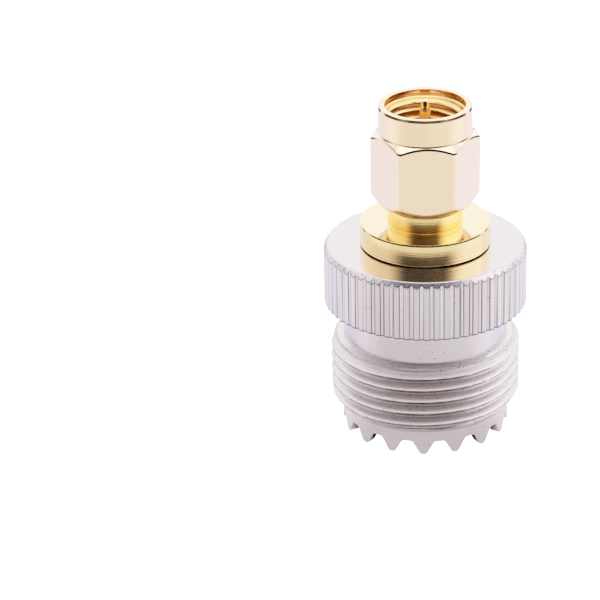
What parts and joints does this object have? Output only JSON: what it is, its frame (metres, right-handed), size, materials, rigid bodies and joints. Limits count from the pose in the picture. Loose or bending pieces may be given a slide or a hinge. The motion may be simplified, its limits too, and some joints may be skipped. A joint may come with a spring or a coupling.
{
  "type": "coaxial adapter",
  "caption": "Straight coaxial adapter with a gold SMA plug and its free-turning hex nut on one end and a nickel UHF jack with thread, knurled collar and toothed crown on the other.",
  "frame": {"origin": "on the axis, in the plane of the crown's tooth tips, on which the adapter stands", "axes": "+Z along the axis from the UHF jack to the SMA plug; -Y is the side that the picture looks at, +X to its right"},
  "size_m": [0.017, 0.017, 0.0291],
  "materials": {
    "nickel_plate": "nickel plated brass, turned and knurled",
    "gold_plate": "thin bright gold plate over brass",
    "spring_bronze": "spring bronze",
    "white_dielectric": "white PTFE",
    "red_silicone": "dark red silicone rubber"
  },
  "bodies": {
    "adapter_body": {"uhf_shell": "nickel_plate", "uhf_insulator": "white_dielectric", "uhf_contact": "gold_plate", "sma_body": "gold_plate", "sma_insulator": "white_dielectric", "sma_pin": "gold_plate", "gasket": "red_silicone"},
    "ring_carrier": {"retaining_ring": "spring_bronze"},
    "nut": {"coupling_nut": "gold_plate"}
  },
  "joints": [
    {"name": "nut_float", "type": "slide", "parent": "adapter_body", "child": "ring_carrier", "axis": [0, 0, 1], "range_m": [0, 0.0004]},
    {"name": "nut_spin", "type": "hinge", "parent": "ring_carrier", "child": "nut", "pos_m": [0, 0, 0.0226], "axis": [0, 0, 1], "continuous": true}
  ]
}
